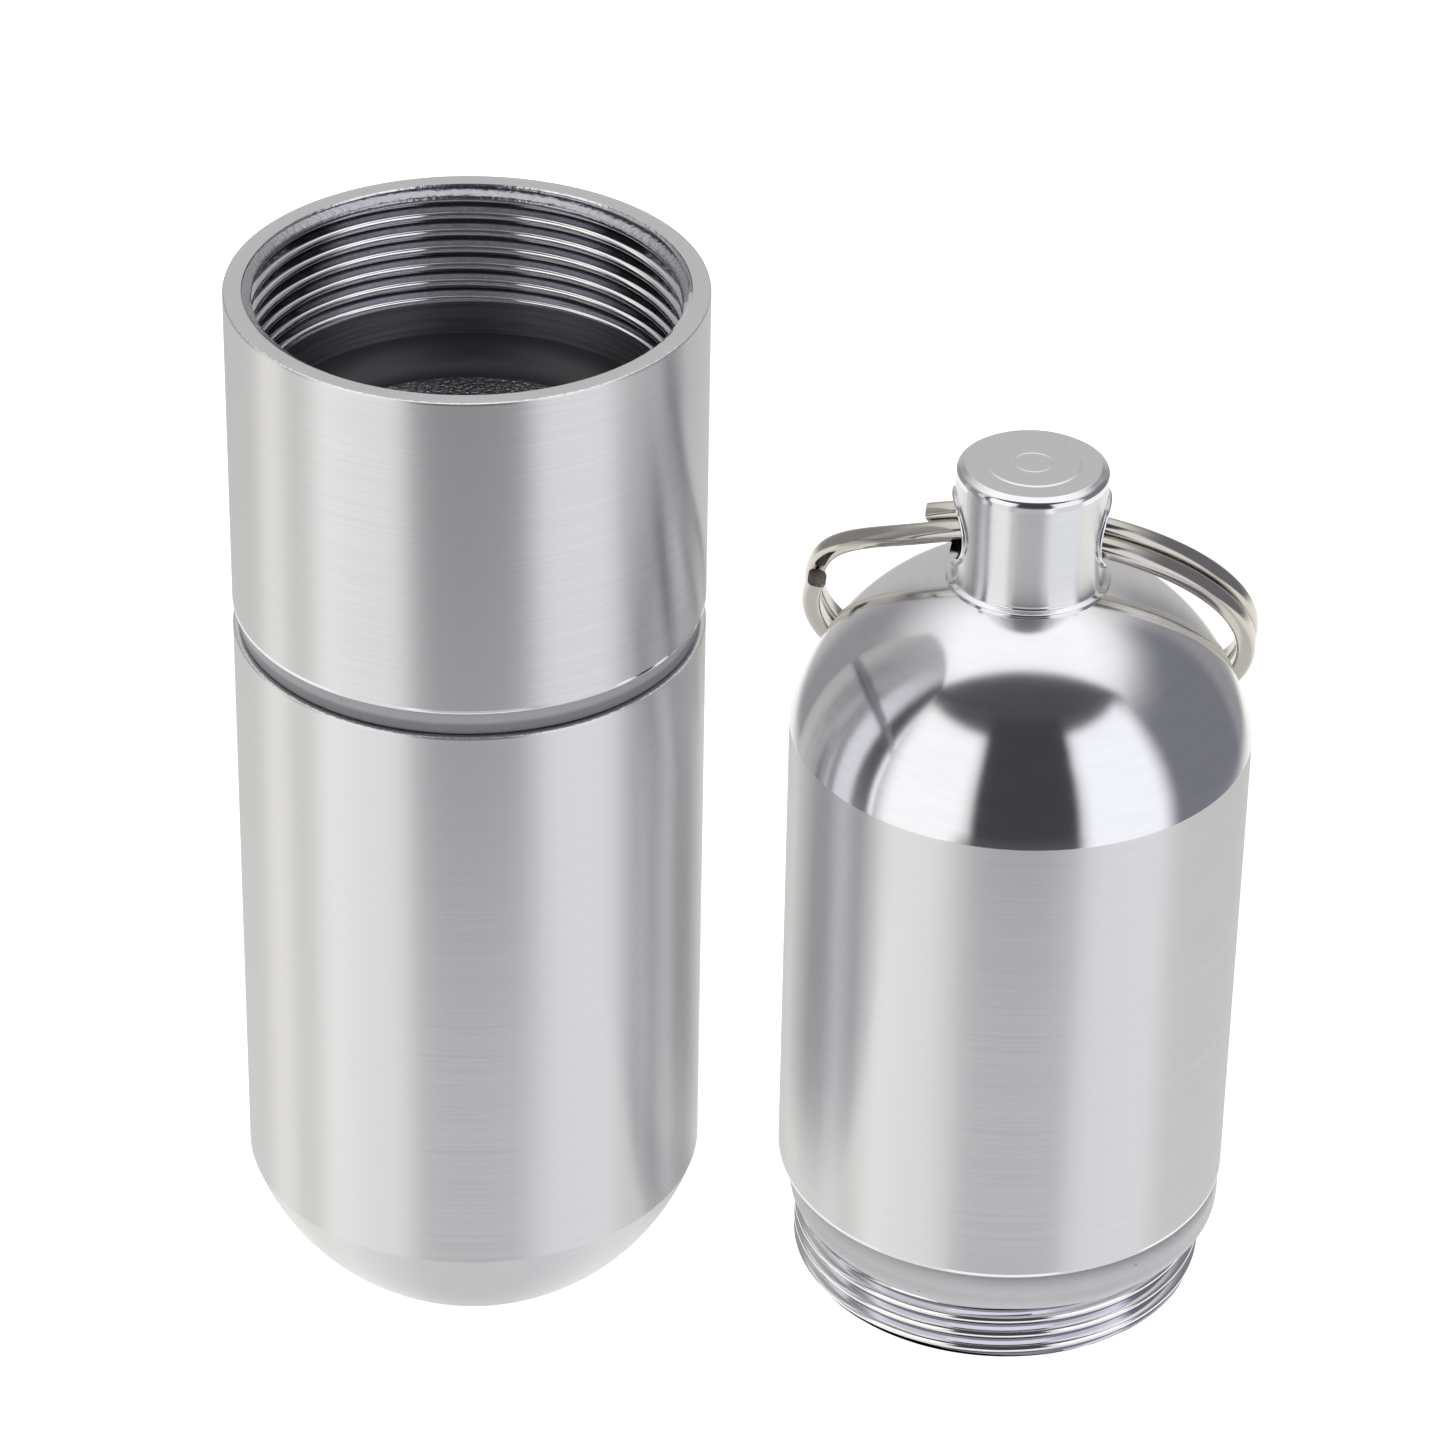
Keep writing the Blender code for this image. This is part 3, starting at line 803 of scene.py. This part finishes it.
def make_world():
    """White to the camera. What lights the object is a tent of soft panels, with a dark gap at the front."""
    world = bpy.data.worlds.new("studio")
    bpy.context.scene.world = world
    world.use_nodes = True
    tree = world.node_tree
    tree.nodes.clear()
    way = add_node(tree, "ShaderNodeTexCoord").outputs["Generated"]
    split = add_node(tree, "ShaderNodeSeparateXYZ", Vector=way).outputs
    azimuth = maths(tree, "ARCTAN2", split[0], maths(tree, "MULTIPLY", split[1], -1.0))
    azimuth = maths(tree, "MULTIPLY", azimuth, 180.0 / pi)
    elevation = maths(tree, "MULTIPLY", maths(tree, "ARCSINE", split[2]), 180.0 / pi)
    light = add_node(tree, "ShaderNodeRGB").outputs[0]
    light.default_value = (*LOW_LIGHT, 1.0)
    light = over(tree, light, ramp(tree, elevation, HIGH_LIGHT_FROM, HIGH_LIGHT_FULL), HIGH_LIGHT)
    for *edges, colour in PANELS:
        light = over(tree, light, panel(tree, azimuth, elevation, *edges), colour)
    across = maths(tree, "DIVIDE", split[0], split[2])
    forward = maths(tree, "DIVIDE", maths(tree, "MULTIPLY", split[1], -1.0), split[2])
    overhead = ramp(tree, elevation, BOARD_FROM, BOARD_FULL)
    board = maths(tree, "MULTIPLY", panel(tree, across, forward, *BOARD), overhead)
    light = over(tree, light, board, BOARD_LIGHT)
    for *edges, colour in FRONT_PANELS:
        light = over(tree, light, panel(tree, azimuth, elevation, *edges), colour)
    table = add_node(tree, "ShaderNodeRGB").outputs[0]
    table.default_value = (*TABLE_LIGHT, 1.0)
    for left, right, side_blur, colour in TABLE_PATCHES:
        mask = panel(tree, azimuth, elevation, left, right, UNDER, 0.0, side_blur, 1.0)
        table = over(tree, table, mask, colour)
    # The painted shadow under the object, on the table below.
    near = ramp(tree, elevation, NEAR_TABLE_FULL, NEAR_TABLE_TO, 1.0, 0.0)
    table = over(tree, table, near, NEAR_TABLE_SHADOW)
    whole = add_node(tree, "ShaderNodeMix", data_type="RGBA")
    above = ramp(tree, elevation, TABLE_EDGE - TABLE_BLUR, TABLE_EDGE + TABLE_BLUR)
    tree.links.new(above, whole.inputs["Factor"])
    tree.links.new(table, whole.inputs["A"])
    tree.links.new(light, whole.inputs["B"])
    shown = add_node(tree, "ShaderNodeLightPath").outputs["Is Camera Ray"]
    seen = over(tree, whole.outputs["Result"], shown, (1.0, 1.0, 1.0))
    background = add_node(tree, "ShaderNodeBackground", Color=seen)
    output = tree.nodes.new("ShaderNodeOutputWorld")
    tree.links.new(background.outputs[0], output.inputs["Surface"])


def sheet_object(name, half_width, front, back, height):
    """A flat sheet, level, as a part of the stage."""
    mesh = bpy.data.meshes.new(name)
    corners = [(-half_width, front), (half_width, front), (half_width, back), (-half_width, back)]
    mesh.from_pydata([(x, y, height) for x, y in corners], [], [(0, 1, 2, 3)])
    sheet = bpy.data.objects.new(name, mesh)
    bpy.context.scene.collection.objects.link(sheet)
    return sheet


def make_floor():
    """A white sheet, lit from within enough to leave almost no shadow."""
    floor = sheet_object("floor", FLOOR_HALF_WIDTH, FLOOR_FRONT, FLOOR_BACK, FLOOR_HEIGHT)
    floor.visible_glossy = False
    material, tree, shader = new_material("white_sheet")
    shader.inputs["Base Color"].default_value = (0.9, 0.9, 0.9, 1.0)
    shader.inputs["Roughness"].default_value = 1.0
    shader.inputs["Specular IOR Level"].default_value = 0.0
    shader.inputs["Emission Color"].default_value = (1.0, 1.0, 1.0, 1.0)
    shader.inputs["Emission Strength"].default_value = FLOOR_GLOW
    floor.data.materials.append(material)


def make_floor_shade_sheet():
    """The grey sheet in front, a painted shade of the far floor seen only in reflections, which fades in with
    distance and towards its middle.
    """
    sheet = sheet_object("floor_shade_sheet", SHEET_HALF_WIDTH, SHEET_FRONT, SHEET_BACK, SHEET_HEIGHT)
    sheet.visible_camera = sheet.visible_diffuse = sheet.visible_shadow = sheet.visible_transmission = False
    material = bpy.data.materials.new("floor_shade_sheet")
    material.use_nodes = True
    tree = material.node_tree
    tree.nodes.clear()
    place = add_node(tree, "ShaderNodeTexCoord").outputs["Object"]
    split = add_node(tree, "ShaderNodeSeparateXYZ", Vector=place).outputs
    aside = maths(tree, "SUBTRACT", split[0], SHEET_CENTRE)
    ahead = maths(tree, "MULTIPLY", split[1], -1.0)
    angle = maths(tree, "ABSOLUTE", maths(tree, "MULTIPLY", maths(tree, "ARCTAN2", aside, ahead), 180.0 / pi))
    cover = maths(
        tree, "MULTIPLY", ramp(tree, ahead, SHEET_NEAR, SHEET_FAR, 0.0, SHEET_COVER),
        ramp(tree, angle, SHEET_ANGLE - SHEET_BLUR, SHEET_ANGLE + SHEET_BLUR, 1.0, 0.0),
    )
    clear = tree.nodes.new("ShaderNodeBsdfTransparent")
    glow = add_node(tree, "ShaderNodeEmission", Color=(*SHEET_SHADE, 1.0))
    mixed = add_node(tree, "ShaderNodeMixShader", Fac=cover, i1=clear.outputs[0], i2=glow.outputs[0])
    output = tree.nodes.new("ShaderNodeOutputMaterial")
    tree.links.new(mixed.outputs[0], output.inputs["Surface"])
    sheet.data.materials.append(material)


def make_camera():
    camera = bpy.data.cameras.new("camera")
    camera.lens = CAMERA_LENS
    camera.clip_start, camera.clip_end = 0.01, 10.0
    holder = bpy.data.objects.new("camera", camera)
    bpy.context.scene.collection.objects.link(holder)
    aim = Matrix.Rotation(pi / 2 - CAMERA_DOWN, 4, "X") @ Matrix.Rotation(CAMERA_ROLL, 4, "Z")
    holder.matrix_world = Matrix.Translation(CAMERA_PLACE) @ aim
    bpy.context.scene.camera = holder


make_lower_capsule()
make_middle_sleeve()
make_cap_shell()
squeeze = Vector((1.0, 1.0, 1.0)) * SEAM_SQUEEZE
cap_silicone = silicone("cap_silicone", CAP_SILICONE, 0.1, 0.1)
# The seam's ring gets a darker colour and a stronger painted shade on its lower half.
seam_silicone = silicone("seam_silicone", SEAM_SILICONE_SHADED, 0.45, 0.1)
make_silicone_ring("seam_o_ring", seam_low - squeeze, seam_high + squeeze, 10.0, seam_silicone)
make_silicone_ring("cap_o_ring", seal_low, seal_high, 3.0, cap_silicone)
make_split_ring(
    nickel("nickel_plate", (0.68, 0.65, 0.60), 0.09, 1.5 * MICRON),
    nickel("cut_wire", (0.42, 0.40, 0.36), 0.35, 60.0 * MICRON),
)
make_world()
make_floor()
make_floor_shade_sheet()
make_camera()
bpy.context.scene.view_settings.view_transform = "Standard"
